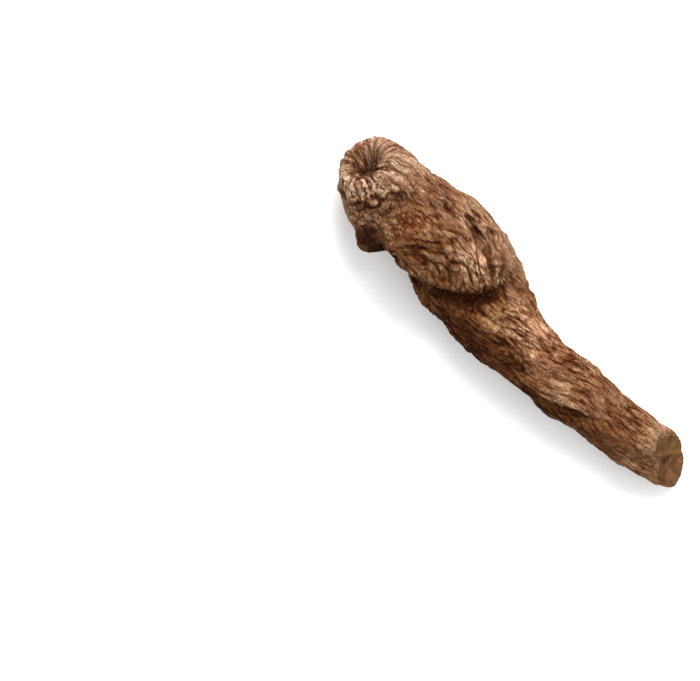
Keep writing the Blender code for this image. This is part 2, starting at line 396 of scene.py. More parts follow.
def flap(places, around):
    """Height of the flap: raised above its edge, and a hollow below it."""
    below, there = below_flap(places, around)
    step = rise(below / FLAP_STEP)
    raised = FLAP_RAISED * np.exp(-((below / FLAP_UP) ** 2)) * (1.0 - step)
    hollow = FLAP_HOLLOW * np.exp(-((below / FLAP_DOWN) ** 2)) * step
    return there * (raised - hollow)


def skin(at, around):
    """The skin of the body: its plain sections with furrows, collar and flap on them."""
    middle, out, radius = outward(at, around)
    plain = middle + radius[..., None] * out
    height = relief(plain) + collar(at, around) + flap(plain, around)
    return plain + height[..., None] * out


print("a point on the flap", skin(np.array([9.0]), np.array([2.0])).round(2), "mm")

# %% [markdown]
# ## The skin as a grid
#
# The fine skin needs far more points than the rough solid, spread evenly, and four-sided faces
# keep the shading clean. So the root is one tube of rings, with more points on the top than
# underneath. The tube has to end in the plane of the cut, so we first ask, for each direction
# around, at which section the plain skin meets that plane. A few steps towards it find the place.

# %% Where the skin meets the cut
POINTS_AROUND = 320
DENSER_ON_TOP = 0.3
AROUND = np.linspace(0.0, 2.0 * np.pi, POINTS_AROUND, endpoint=False)
AROUND = AROUND + DENSER_ON_TOP * np.cos(AROUND)
CUT_POINT = (62.8, 0.8, 7.0)
CUT_NORMAL = (0.62, 0.42, 0.66)
LAST_SECTION = 14.0
SECTION_SPACING = 10.0
STEPS_TO_CUT = 12


def cut_parameters():
    at = np.full(AROUND.shape, LAST_SECTION)
    for _ in range(STEPS_TO_CUT):
        middle, out, radius = outward(at, AROUND)
        gap = (middle + radius[:, None] * out - CUT_POINT) @ unit(CUT_NORMAL)
        at = at - gap / SECTION_SPACING
    return at


CUT_AT = cut_parameters()
print("the cut meets sections", CUT_AT.min().round(2), "to", CUT_AT.max().round(2))

# %% [markdown]
# The rings stand upright on the thick part. Along the tail they lean over by and by, until the
# last one lies in the cut. Near it the skin is pressed in a little, because handling wore the
# sharp edge away.

# %% Rings of the body
NECK_SECTION = 6.0
RINGS_THICK = 150
RINGS_TAIL = 112
WORN_WIDTH = 2.6
WORN_DEEP = 1.0


def body_rings():
    thick = np.linspace(0.0, NECK_SECTION, RINGS_THICK, endpoint=False)
    thick = np.broadcast_to(thick[:, None], (RINGS_THICK, POINTS_AROUND))
    shares = np.linspace(0.0, 1.0, RINGS_TAIL)
    tail = NECK_SECTION + shares[:, None] * (CUT_AT - NECK_SECTION)
    at = np.concatenate([thick, tail])
    around = np.broadcast_to(AROUND, at.shape)
    rings = skin(at, around)
    normal = unit(CUT_NORMAL)
    rings[-1] -= ((rings[-1] - CUT_POINT) @ normal)[:, None] * normal
    out = outward(at, around)[1]
    from_cut = np.maximum((CUT_POINT - rings) @ normal, 0.0)
    worn = WORN_DEEP * np.clip(1.0 - from_cut / WORN_WIDTH, 0.0, 1.0) ** 2
    return rings - worn[..., None] * out


BODY = body_rings()
print("rings", BODY.shape, "reach in mm", BODY[..., 0].min().round(1), BODY[..., 0].max().round(1))

# %% [markdown]
# ## The crown
#
# The stem broke away from the crown and left a scar, which sank as the pith behind it dried. The
# skin around the hole was drawn in with it and gathered into pleats, like the mouth of a purse.
# A profile gives the sunken form: each row holds a share of the way out from the scar, and how
# far the skin there stands forward of the edge, in millimetres. A wave around it gives the pleats.

# %% Rings of the crown
CROWN_PROFILE = (
    (1.0, 0.0),
    (0.985, 0.9),
    (0.945, 1.7),
    (0.87, 2.4),
    (0.76, 2.8),
    (0.62, 2.7),
    (0.48, 2.1),
    (0.35, 0.8),
    (0.23, -1.4),
    (0.13, -3.6),
    (0.05, -4.6),
)
SCAR_OFF_CENTRE = (-0.3, -1.5, 0.4)
CROWN_PLEATS = 16
PLEAT_DEPTH = 0.45
RINGS_CROWN = 34
SMALLEST_RING = 0.05
RING_SPREAD = 0.85
PLEATS_FROM, PLEATS_FADE_IN, PLEATS_FADE_OUT = 0.04, 0.25, 0.1


def pleats(angles):
    """Uneven pleats around the scar, from -1 to 1."""
    sides = np.stack([np.cos(angles), np.sin(angles), np.zeros(angles.shape)], axis=-1)
    drift = read_noise(sides * 1.3 + (0.0, 0.0, 4.2), 0.0)
    strength = 0.8 + 0.9 * read_noise(sides * 2.1 + (0.0, 0.0, 9.7), 0.0)
    return strength * np.cos(CROWN_PLEATS * angles + 4.0 * drift)


def crown_rings():
    start = np.zeros(AROUND.shape)
    middle, out, radius = outward(start, AROUND)
    along = section_frames(start)[1]
    edge = radius + relief(middle + radius[:, None] * out)
    folds = pleats(AROUND)
    rows = np.array(CROWN_PROFILE[::-1])
    shares = np.linspace(SMALLEST_RING, 1.0, RINGS_CROWN + 1)[:-1] ** RING_SPREAD
    rings = []
    for share in shares:
        at = np.interp(share, rows[:, 0], np.arange(len(rows)))
        height = read_spline(rows, at)[1]
        fade = min((share - PLEATS_FROM) / PLEATS_FADE_IN, 1.0) * min((1.0 - share) / PLEATS_FADE_OUT, 1.0)
        ring = middle + (1.0 - share) * np.array(SCAR_OFF_CENTRE) + (edge * share)[:, None] * out
        rings.append(ring - (height + PLEAT_DEPTH * folds * fade)[:, None] * along)
    return np.array(rings)


CROWN = crown_rings()
print("rings on the crown", len(CROWN), "the first at", CROWN[0].mean(axis=0).round(1), "mm")

# %% [markdown]
# ## The cut
#
# The other end was cut across with one stroke, and dried with its middle a little sunken. Smaller
# and smaller copies of the last ring close it like a lid, each pressed in a little deeper.

# %% Rings of the cut
CUT_RING_SHARES = (0.97, 0.93, 0.87, 0.8, 0.72, 0.63, 0.53, 0.42, 0.3, 0.18, 0.07)
CUT_DISH = 0.8
CUT_WEAR = 0.7


def cut_rings(edge):
    middle = edge.mean(axis=0)
    normal = unit(CUT_NORMAL)
    return np.array([
        middle + (edge - middle) * share - normal * CUT_DISH * (1.0 - share**2)
        for share in CUT_RING_SHARES
    ])


CUT = cut_rings(BODY[-1])
BODY[-1] -= CUT_WEAR * unit(CUT_NORMAL)
RINGS = np.concatenate([CROWN, BODY, CUT])
print("rings on the cut", len(CUT), "and in all", len(RINGS))

# %% [markdown]
# ## The lobe
#
# A side root once pushed out of the shoulder and grew against it. It shows as a lobe whose lower
# edge hangs free over the neck. We could join a second solid on, but its seam would show. Instead
# the rings are lifted inside an oval, seen from above. The edge is steep where the lobe is free
# and gentle where it grew together with the shoulder. A rim is pushed out over the free edge, and
# the skin under it is hollowed.

# %% Raise the lobe
LOBE_MIDDLE = (-35.3, 1.4)
LOBE_ALONG = (0.93, 0.37)
LOBE_REACH = (19.0, 8.5)
LOBE_RAISED = 4.4
LOBE_OVERHANG = 2.2
LOBE_HOLLOW = 2.6
FREE_EDGE_SLANT, FREE_EDGE_FROM, FREE_EDGE_SOFT = 0.65, 0.1, 0.5
FREE_EDGE_WIDTH = 2.2
BLENDED_EDGE_WIDTH = 10.0
RIM_INSIDE, RIM_WIDTH = 0.6, 2.2
HOLLOW_OUTSIDE, HOLLOW_WIDTH = 3.2, 3.0
LOBE_FROM_HEIGHT = 13.0
SOFT_HEIGHT = 6.0


def lobe_edge(points):
    """How far inside the edge of the lobe each point lies, how free that edge is, and the
    direction out of it."""
    lengthways = unit(LOBE_ALONG)
    axes = np.array([lengthways, (-lengthways[1], lengthways[0])])
    scaled = (points[..., :2] - LOBE_MIDDLE) @ axes.T / LOBE_REACH
    distance = np.maximum(np.linalg.norm(scaled, axis=-1), 1e-6)
    gradient = scaled / distance[..., None] / LOBE_REACH
    slope = np.linalg.norm(gradient, axis=-1)
    direction = (gradient / slope[..., None]) @ axes
    lower = -scaled[..., 1] - FREE_EDGE_SLANT * np.maximum(scaled[..., 0], 0.0)
    free = rise((lower / distance - FREE_EDGE_FROM) / FREE_EDGE_SOFT)
    return (1.0 - distance) / slope, free, direction


def raise_lobe(points):
    inside, free, direction = lobe_edge(points)
    width = BLENDED_EDGE_WIDTH + (FREE_EDGE_WIDTH - BLENDED_EDGE_WIDTH) * free
    on_top = rise((points[..., 2] - LOBE_FROM_HEIGHT) / SOFT_HEIGHT)
    points[..., 2] += LOBE_RAISED * rise(inside / width) * on_top
    rim = np.exp(-(((inside - RIM_INSIDE) / RIM_WIDTH) ** 2)) * rise((inside + 0.4) / 1.4)
    points[..., :2] += (LOBE_OVERHANG * rim * free * on_top)[..., None] * direction
    below = np.exp(-(((inside + HOLLOW_OUTSIDE) / HOLLOW_WIDTH) ** 2))
    points[..., 2] -= LOBE_HOLLOW * below * free * on_top


raise_lobe(RINGS)
print("highest point of the lobe", RINGS[..., 2].max().round(2), "mm")

# %% [markdown]
# ## The knob
#
# Beside the lobe a second side root broke off and left a knob, with a deep corner above it. A
# soft push moves all points near a place by one vector, less and less towards its reach, as a
# thumb would move clay. The first push draws out the knob, and the other two press in the corner.

# %% Push out the knob


class Push:
    """A soft push: what lies within reach of a point moves by one vector, fading outwards."""

    def __init__(self, middle, reach, move):
        self.middle = np.array(middle, float)
        self.reach = np.array(reach, float)
        self.move = np.array(move, float)

    def apply(self, points):
        distance = np.linalg.norm((points - self.middle) / self.reach, axis=-1)
        weight = np.clip(1.0 - distance**2, 0.0, 1.0) ** 2
        points += weight[..., None] * self.move


PUSHES = (
    Push((-51.0, -13.0, 10.0), (6.5, 7.0, 9.0), (0.0, -3.2, -0.3)),
    Push((-46.2, -12.0, 20.0), (5.4, 7.5, 9.0), (0.8, 5.0, -4.0)),
    Push((-43.5, -12.0, 10.0), (4.5, 6.5, 9.0), (0.3, 2.0, 0.0)),
)
for push in PUSHES:
    push.apply(RINGS)
print("pushes", len(PUSHES), "widest in mm", RINGS[..., 1].min().round(1), RINGS[..., 1].max().round(1))

# %% [markdown]
# ## The cleft and the pits
#
# Shrinking opened a long cleft between the lobe and the shoulder, and left two pits below the
# crown. All are pressed into the top from above: the cleft along a line between two places, and
# each pit around one place.

# %% Press in the cleft and the pits
CLEFT_START, CLEFT_END = (-36.5, 11.2), (-25.4, 7.8)
CLEFT_WIDTH = 2.1
CLEFT_DEEP = 4.3
# Place, radius and depth in millimetres.
PITS = (
    ((-57.3, 3.2), 1.8, 3.2),
    ((-56.5, -3.0), 2.6, 1.5),
)
PRESSED_FROM_HEIGHT = 15.0


def cleft_distance(points):
    """How far each point lies from the line of the cleft, and how far along it."""
    start = np.array(CLEFT_START)
    line = np.array(CLEFT_END) - start
    share = np.clip(((points[..., :2] - start) @ line) / (line @ line), 0.0, 1.0)
    distance = np.linalg.norm(points[..., :2] - (start + share[..., None] * line), axis=-1)
    return distance, share


def press_in(points):
    on_top = rise((points[..., 2] - PRESSED_FROM_HEIGHT) / SOFT_HEIGHT)
    distance, share = cleft_distance(points)
    fade = np.sin(np.pi * (0.1 + 0.8 * share))
    pressed = CLEFT_DEEP * fade * np.exp(-((distance / CLEFT_WIDTH) ** 2))
    for place, radius, deep in PITS:
        away = np.linalg.norm(points[..., :2] - place, axis=-1)
        pressed += deep * np.exp(-((away / radius) ** 2))
    points[..., 2] -= pressed * on_top


press_in(RINGS)
print("points on the skin", RINGS.shape[0] * RINGS.shape[1], "highest", RINGS[..., 2].max().round(2))

# %% [markdown]
# ## Where things are, seen from the scar
#
# The skin isn't the same all over, so each pattern needs to know where it lies. Around the crown,
# the best measures are those seen from the scar: how far away a point is, at which angle, and how
# far behind. Two slanting measures run down and across the crown as the viewer sees it.

# %% Measures from the scar
X, Y, Z = (RINGS[..., axis].copy() for axis in range(3))
HALF_TURNED = 0.71


def scar_places():
    """Places seen from the scar: to the side, upwards, and how far behind it."""
    middle, along, sideways, upwards, _, _ = section_frames(np.zeros(1))
    from_scar = RINGS - (middle[0] + SCAR_OFF_CENTRE)
    return from_scar @ sideways[0], from_scar @ upwards[0], from_scar @ along[0]


SCAR_SIDE, SCAR_UP, BEHIND_SCAR = scar_places()
SCAR_RADIUS = np.hypot(SCAR_SIDE, SCAR_UP)
SCAR_ANGLE = np.arctan2(SCAR_UP, SCAR_SIDE)
SCAR_DOWNWARDS = HALF_TURNED * SCAR_UP - HALF_TURNED * SCAR_SIDE
SCAR_LENGTHWAYS = HALF_TURNED * SCAR_UP + HALF_TURNED * SCAR_SIDE
print("from the scar, mm", SCAR_RADIUS.min().round(2), "to", SCAR_RADIUS.max().round(2))

# %% [markdown]
# ## Masks
#
# The crown is pleated, one side of the head is spongy, the lobe has layered plates, the neck and
# the tail are torn along the grain, and the cut is nearly smooth. Beside the cut a strip of bark
# has peeled off. A mask from 0 to 1 for each region, with a soft edge, lets every pattern fade
# into the next one.

# %% Masks of the regions
FAR_SIDE = (-0.64, 0.73, -0.23)
ROWS = np.arange(len(RINGS))[:, None] + np.zeros(POINTS_AROUND)
FIRST_CUT_ROW = len(RINGS) - len(CUT)


def near(place, reach):
    """1 at the place, fading to nothing beyond the reach."""
    return np.exp(-np.sum((RINGS - place) ** 2, axis=-1) / reach**2)


FROM_CUT = (CUT_POINT - RINGS) @ unit(CUT_NORMAL)
FAR_UP = RINGS @ unit(FAR_SIDE) - CUT_POINT @ unit(FAR_SIDE)
CUT_MASK = soft_step(ROWS, FIRST_CUT_ROW - 1.5, FIRST_CUT_ROW + 0.5)
PEELED = (1.0 - soft_step(FROM_CUT, 1.0, 7.0)) * soft_step(-FAR_UP, 1.0, 4.0)
BARE = np.maximum(CUT_MASK, 0.85 * PEELED)
OLIVE = soft_step(FAR_UP, 2.6, 4.0)
CROWN_MASK = 1.0 - soft_step(BEHIND_SCAR, 0.5, 4.5)
SPONGE_MASK = (1.0 - soft_step(X, -56.0, -47.0)) * (1.0 - soft_step(Y, -1.0, 5.0)) * (1.0 - CROWN_MASK)
LOBE_INSIDE = lobe_edge(RINGS)[0]
LOBE_MASK = soft_step(LOBE_INSIDE, -0.5, 2.5) * soft_step(Z, 14.0, 18.0) * (1.0 - SPONGE_MASK)
print("masks cover", [float(mask.mean().round(3)) for mask in (CROWN_MASK, SPONGE_MASK, LOBE_MASK)])

# %% [markdown]
# ## Places along the grain
#
# The strands wind around the core, and not by the same angle everywhere: they turn one way on the
# shoulder, the other way on the neck, and run nearly straight down the tail. Each point gets a
# place in the grain: how far along it lies, and its two distances across, turned back by the
# winding. A little slow noise shifts these places, so that the strands wave and don't look combed.

# %% Places in the grain
# A place along the root in millimetres, and how far the strands have turned there, in radians.
WINDING = (
    (-50.0, 0.4),
    (-25.0, 0.0),
    (-12.0, 0.3),
    (-5.0, 0.6),
    (8.0, 0.8),
    (22.0, 1.35),
    (30.0, 1.4),
    (45.0, 1.2),
    (80.0, 0.9),
)
WAVE_ALONG = 2.0
WAVE_ACROSS = 0.9
WAVE_WIDTH, WAVE_LENGTH = 5.0, 8.0


def grain_places():
    sections = np.array(SECTIONS)
    rows = np.interp(X, sections[:, 0], np.arange(len(sections)))
    middle = read_spline(sections, rows)
    turned = np.interp(X, *zip(*WINDING))
    across = turn(Y - middle[..., 1], Z - middle[..., 2], turned)
    slow = squeeze(X, across, WAVE_WIDTH, WAVE_LENGTH)
    return np.stack([
        X + WAVE_ALONG * read_noise(slow, 3.1),
        across[0] + WAVE_ACROSS * read_noise(slow, 7.7),
        across[1] + WAVE_ACROSS * read_noise(slow, 5.3),
    ], axis=-1)


GRAIN = grain_places()
print("grain from", GRAIN[..., 0].min().round(1), "to", GRAIN[..., 0].max().round(1), "mm")

# %% [markdown]
# ## Tears and holes
#
# As the root dried, its skin tore into strips a millimetre wide. A tear is narrow and dark, and
# the strip beside it stays rounded. Noise changes sign along thin winding lines, so a value that
# is 1 on those lines and falls off steeply draws tears. Holes are drawn by the peaks of noise.
# Every call has a seed of its own, a number that picks another stretch of the noise.

# %% Draw tears and holes
TEAR_SHARPNESS = 1.6


def tears(places, seed, narrow):
    """1 at the bottom of the tears, 0 on the strips between them."""
    folded = np.abs(read_noise(places, seed))
    return (1.0 - np.clip(folded / narrow, 0.0, 1.0)) ** TEAR_SHARPNESS


def holes(places, seed, size):
    """1 in scattered holes, which are larger where size is larger."""
    return soft_step(read_noise(places, seed), 0.52 - size, 0.68 - size)


def along_grain(width, length):
    return GRAIN / (length, width, width)


TWO_PLACES = np.array([[0.0, 0.0, 0.0], [0.3, 0.4, 0.5]])
print("in a tear and beside it", tears(TWO_PLACES, 31.0, 0.26).round(2))

# %% [markdown]
# ## The torn grain
#
# Long strips, short strips and, on the tail, thin fibres lie over one another. Where the long
# strips are broken, the short ones cut deeper. Towards the head the strips give way to lumps that
# are the same size in every direction. A slow noise makes some patches rougher than others. All
# depths are in millimetres, before the carving scales them.

# %% Depth of the torn grain
# Width and length of the strips in millimetres, a seed, and how narrow the tears are.
LONG_STRIPS = (1.8, 9.5, 31.0, 0.26)
SHORT_STRIPS = (1.05, 5.4, 47.0, 0.24)
THIN_FIBRES = (0.75, 4.0, 49.0, 0.24)
LONG_DEEP, SHORT_DEEP, FIBRES_DEEP, LUMPS_DEEP, HOLES_DEEP = 0.68, 0.4, 0.3, 0.4, 0.4
LUMP_SIZE = 2.0
PATCH_SIZE = 9.0


def strips(width, length, seed, narrow):
    return tears(along_grain(width, length), seed, narrow)


def grain_depth():
    patchy = 0.8 + 0.7 * read_noise(RINGS / PATCH_SIZE, 17.0)
    broken = soft_step(read_noise(along_grain(2.2, 5.0), 19.0), -0.35, 0.25)
    lumpy = (1.0 - 0.7 * soft_step(X, -15.0, 10.0)) * (1.0 - 0.55 * soft_step(Y, 0.0, 6.0))
    stranded = soft_step(X, -25.0, 5.0)
    on_head = 1.0 - 0.8 * soft_step(X, -12.0, 4.0)
    torn = LONG_DEEP * strips(*LONG_STRIPS) * (0.4 + 0.6 * broken)
    torn += (SHORT_DEEP + 0.2 * stranded) * strips(*SHORT_STRIPS) * (1.1 - 0.5 * broken)
    torn += FIBRES_DEEP * stranded * strips(*THIN_FIBRES)
    torn += LUMPS_DEEP * tears(RINGS / LUMP_SIZE, 43.0, 0.38) * lumpy
    torn += HOLES_DEEP * holes(along_grain(0.8, 3.0), 53.0, 0.15) * on_head
    return torn * patchy * (1.0 - 0.3 * soft_step(X, 22.0, 36.0))


GRAIN_DEPTH = grain_depth()
print("mean depth of the tears", GRAIN_DEPTH.mean().round(3), "mm")

# %% [markdown]
# ## The sponge on the head
#
# One side of the head never had strands. Its tissue dried to a sponge, with tears in every
# direction and small holes. Slow noise first shifts the places, so that the cells of the sponge
# look grown and not cast from one mould.

# %% Depth of the sponge
SPONGE_SHIFT_SIZE, SPONGE_SHIFT = 3.0, 1.6
LARGE_CELL, SMALL_CELL, PORE = 2.0, 1.1, 1.4


def shifted(places, size, amount, seed):
    """Places moved about by slow noise, so that a pattern on them looks grown."""
    moves = [read_noise(places / size, seed + step) for step in (1.3, 2.6, 3.9)]
    return places + amount * np.stack(moves, axis=-1)


def sponge_depth():
    places = shifted(RINGS, SPONGE_SHIFT_SIZE, SPONGE_SHIFT, 83.0)
    torn = 0.52 * tears(places / LARGE_CELL, 83.0, 0.3)
    torn += 0.34 * tears(places / SMALL_CELL, 89.0, 0.32)
    return torn + 0.4 * holes(places / PORE, 91.0, 0.14)


SPONGE_DEPTH = sponge_depth()
print("mean depth of the sponge", SPONGE_DEPTH.mean().round(3), "mm")

# %% [markdown]
# ## The plates of the lobe
#
# The bark of the lobe lies in plates that curve around its lower corner, like the layers of an
# onion. So tears are read there in polar coordinates: the distance from the corner runs across the
# plates, and the angle runs along them. In one spot the plates have lifted, and their edges are
# sharper and closer together.

# %% Depth of the plates
PLATES_CORNER = (-37.0, -15.0)
PLATES_RADIUS = 12.0
PLATES_SHIFT_SIZE, PLATES_SHIFT = 8.0, 3.5
SHARP_PLATES = (-28.0, 3.0, 25.0)
SHARP_REACH = 7.5


def plates_depth():
    places = shifted(RINGS, PLATES_SHIFT_SIZE, PLATES_SHIFT, 137.0)
    from_corner = places[..., :2] - PLATES_CORNER
    away = np.hypot(from_corner[..., 0], from_corner[..., 1])
    angle = np.arctan2(from_corner[..., 1], from_corner[..., 0])
    arcs = np.stack([angle * PLATES_RADIUS, away + 0.3 * Z, 0.3 * Z], axis=-1)
    sharp = near(SHARP_PLATES, SHARP_REACH)
    torn = (0.65 + 0.4 * sharp) * tears(arcs / (9.0, 2.4, 4.5), 141.0, 0.2)
    torn += 0.35 * sharp * tears(arcs / (7.0, 1.3, 3.0), 145.0, 0.26)
    torn += 0.45 * strips(2.2, 6.0, 101.0, 0.24)
    torn += 0.3 * tears(places / 1.6, 105.0, 0.3)
    return torn + 0.45 * holes(arcs / (3.0, 1.4, 2.0), 103.0, 0.14)


PLATES_DEPTH = plates_depth()
print("mean depth of the plates", PLATES_DEPTH.mean().round(3), "mm")

# %% [markdown]
# ## The pleats and teeth of the crown
#
# The fine pleats fan out from the scar, so there the angle runs across the tears and the radius
# along them. On the rim that faces the viewer the pleats swell into short teeth, with deep gaps
# between them and a groove on their inner side. The floor of the scar is crumbled pith.

# %% Depth of the pleats and teeth
TEETH_ANGLE = 2.35
TEETH_RADIUS = 7.5
TEETH_HALF_LENGTH = 2.6
TEETH_IN_A_TURN = 23
GROOVE_RADIUS, GROOVE_WIDTH = 4.3, 0.7
CRUMB_SIZE = 1.3


def mixed(base, other, mask):
    return base + (other - base) * mask


def teeth_gaps(angle, slow):
    """1 in the gaps between the teeth, more in some and less in others."""
    phase = TEETH_IN_A_TURN * angle + 3.0 * read_noise(slow * 3.0, 79.0)
    return soft_step(np.cos(phase), 0.1, 1.0) * (0.75 + 0.9 * read_noise(slow * 5.0, 85.0))


def pleats_depth():
    slow = np.stack([SCAR_SIDE, SCAR_UP, BEHIND_SCAR], axis=-1) / 3.5
    angle = SCAR_ANGLE + 0.8 * read_noise(slow, 71.0) / np.maximum(SCAR_RADIUS, 2.5)
    fan = np.stack([np.cos(angle) * 6.0, np.sin(angle) * 6.0, SCAR_RADIUS / 6.0], axis=-1)
    folds = tears(fan, 73.0, 0.34)
    fine = tears(fan * (1.7, 1.7, 2.5), 77.0, 0.36)
    facing = soft_step(np.cos(SCAR_ANGLE - TEETH_ANGLE), 0.35, 0.8)
    past_teeth = (SCAR_RADIUS - TEETH_RADIUS) / TEETH_HALF_LENGTH
    teeth = facing * np.exp(-(past_teeth**4))
    gaps = teeth_gaps(angle, slow) + 0.3 * past_teeth**2 + 0.5 * tears(RINGS / 1.7, 87.0, 0.3)
    groove = facing * np.exp(-(((SCAR_RADIUS - GROOVE_RADIUS) / GROOVE_WIDTH) ** 2))
    depth = mixed(0.55 * folds + 0.25 * fine, 0.8 * gaps + 0.12 * fine, teeth) + 0.6 * groove
    crumbs = 0.9 * tears(RINGS / CRUMB_SIZE, 93.0, 0.4)
    return mixed(crumbs, depth, soft_step(SCAR_RADIUS, 1.4, 3.2))


PLEATS_DEPTH = pleats_depth()
print("mean depth of the pleats", PLEATS_DEPTH.mean().round(3), "mm")

# %% [markdown]
# ## The ledge under the teeth
#
# The teeth stand on a ledge, and a deep, uneven groove runs below it. It is a bell curve of the
# distance behind the scar, which noise pushes to and fro.

# %% Depth of the groove under the ledge
LEDGE_BEHIND = 2.7
LEDGE_GROOVE_WIDTH = 0.8
LEDGE_GROOVE_DEEP = 0.7
LEDGE_FROM_RADIUS = 8.0


def ledge_depth():
    facing = soft_step(np.cos(SCAR_ANGLE - TEETH_ANGLE), 0.3, 0.75)
    uneven = BEHIND_SCAR + 2.4 * read_noise(RINGS / 2.6, 81.0)
    groove = np.exp(-(((uneven - LEDGE_BEHIND) / LEDGE_GROOVE_WIDTH) ** 2))
    return LEDGE_GROOVE_DEEP * facing * groove * (SCAR_RADIUS > LEDGE_FROM_RADIUS)


LEDGE_DEPTH = ledge_depth()
print("deepest groove under the ledge", LEDGE_DEPTH.max().round(2), "mm")

# %% [markdown]
# ## The flesh on the cut
#
# The cut shows the inside of the root: firm flesh with short streaks, a few cracks where it
# shrank, and a low ridge where the blade changed direction. A ridge is a tear turned over, so it
# is taken off the depth instead of added to it.

# %% Depth of the flesh
RIDGE_AT, RIDGE_WIDTH = 3.0, 0.45


def flesh_depth():
    streaks = tears(shifted(RINGS, 3.0, 1.0, 109.0) / (1.2, 1.2, 4.0), 107.0, 0.3)
    from_ridge = FAR_UP - RIDGE_AT - 0.8 * read_noise(RINGS / 3.0, 115.0)
    ridge = np.exp(-((from_ridge / RIDGE_WIDTH) ** 2)) * CUT_MASK
    cracks = 0.3 * tears(RINGS / 2.6, 117.0, 0.2)
    return 0.22 * streaks + cracks + 0.5 * read_noise(RINGS / 3.5, 111.0) - 0.35 * ridge


FLESH_DEPTH = flesh_depth()
print("mean depth on the cut", FLESH_DEPTH[FIRST_CUT_ROW:].mean().round(3), "mm")

# %% [markdown]
# ## Carving the patterns in
#
# Each pattern takes over where its mask says so. First the whole skin is filled out by a fifth of
# a millimetre, to make up for what is taken away. Then the patterns cut inwards, by about a
# millimetre at most, so the fine root never grows out of the rough one. Only a flake beside the
# cut stands up. The depth is kept as a number on every point: the material reads it later, to darken
# the tears, partly with the dark of the inner bark and partly as painted shade, and to bleach the ridges.

# %% Carve the fine relief
FULLNESS = 0.2
CARVED = 0.65
FLAKE = (50.5, 1.2, 16.0)
FLAKE_REACH = 4.6
FLAKE_RAISED = 0.4
FLAKE_SMOOTHED = 0.4


def ring_normals(points):
    """Directions out of the skin, from the steps along and around it."""
    around = np.roll(points, -1, axis=1) - np.roll(points, 1, axis=1)
    return unit(np.cross(around, np.gradient(points, axis=0)))


DEPTH = mixed(GRAIN_DEPTH, PLATES_DEPTH, 0.85 * LOBE_MASK)
DEPTH = mixed(DEPTH, SPONGE_DEPTH, SPONGE_MASK)
DEPTH = mixed(DEPTH, PLEATS_DEPTH, CROWN_MASK)
DEPTH = mixed(DEPTH, FLESH_DEPTH, BARE)
DEPTH += 0.14 * strips(0.6, 1.4, 59.0, 0.42) * (1.0 - BARE)
DEPTH += LEDGE_DEPTH
FLAKE_SHAPE = near(FLAKE, FLAKE_REACH) + 0.35 * read_noise(RINGS / 2.0, 113.0)
FLAKE_MASK = soft_step(FLAKE_SHAPE, 0.42, 0.56) * (1.0 - CUT_MASK)
DEPTH *= 1.0 - FLAKE_SMOOTHED * FLAKE_MASK
NORMALS = ring_normals(RINGS)
RINGS = RINGS + NORMALS * (FULLNESS + FLAKE_RAISED * FLAKE_MASK - CARVED * DEPTH)[..., None]
RINGS[..., 2] = np.maximum(RINGS[..., 2], 0.0)
print("cut on average", DEPTH.mean().round(2), "mm, at most", DEPTH.max().round(2))

# %% [markdown]
# ## Stains, painted shade and rubbed places
#
# Soil and rubbing also left marks that follow no form. Two tables hold them, each mark with its
# place, how far it reaches in millimetres, and how dark or how pale it is. Three of the dark marks
# are painted shade: in the hollow beside the knob, below the edge of the lobe and on the lower
# flank beside the flap. We could paint them by hand, but a table is easier to correct, and it holds
# in every view. All these marks are colours on the root, so they stay in place when the light moves.

# %% Tables of marks
STAINS_AND_SHADE = (
    # Painted shade in the hollow between the knob and the lobe.
    ((-46.5, -11.0, 13.0), 5.5, 1.5),
    ((-50.0, 9.0, 25.0), 6.0, 0.16),
    ((-57.5, 1.5, 25.0), 6.5, 0.42),
    ((-32.0, -3.0, 24.0), 5.0, 0.4),
    ((-48.0, -6.5, 21.0), 4.5, 0.6),
    ((-60.0, -4.0, 21.5), 4.5, 0.3),
    ((-64.5, -6.5, 19.0), 3.5, 0.2),
    # Painted shadow below the edge of the lobe.
    ((-19.0, -5.5, 17.0), 6.0, 0.85),
    ((-13.2, 7.9, 17.0), 5.0, 0.25),
    ((-7.0, 7.5, 15.0), 4.0, 0.4),
    ((-22.8, 9.3, 21.0), 3.2, 0.7),
    ((-41.5, 7.0, 26.0), 3.5, 0.35),
    # Painted shade on the lower flank, beside the flap.
    ((13.5, -8.9, 13.0), 5.6, 0.85),
    ((39.0, -5.0, 12.0), 7.0, 0.3),
)
RUBBED = (
    ((-71.5, -2.2, 20.0), 5.5, 1.6),
    ((-39.0, 10.0, 25.0), 4.2, 1.4),
    ((-29.0, 14.5, 18.0), 4.0, 0.8),
    ((-39.0, -8.5, 20.0), 6.0, 3.0),
    ((-30.0, 3.6, 26.5), 5.2, 3.4),
    ((-22.5, 4.0, 23.0), 4.6, 1.5),
    ((-25.0, 12.5, 18.0), 7.0, 0.9),
)


def marks(table):
    return np.sum([amount * near(place, reach) for place, reach, amount in table], axis=0)


print("stains", len(STAINS_AND_SHADE), "rubbed places", len(RUBBED))

# %% [markdown]
# ## Soil and painted shade
#
# Shade is painted into the colour where the hollows and overhangs would hold it: under the lobe,
# in the cleft, below the flap, in the scar and on its far wall, on the lower side of the neck and
# on the underside. Each of these is one layer, found with the same measures that made its form. A
# thin layer of soil on the shoulder and the tail, with the dark marks above, is one more layer. A
# point takes the darkest of its layers.

# %% Layers of soil and painted shade
# The direction of the underside, which is darkened as painted shade.
SHADED_SIDE = (0.0, -0.8, -0.6)
UNDER_LOBE_AT, UNDER_LOBE_WIDTH = 3.6, 2.1


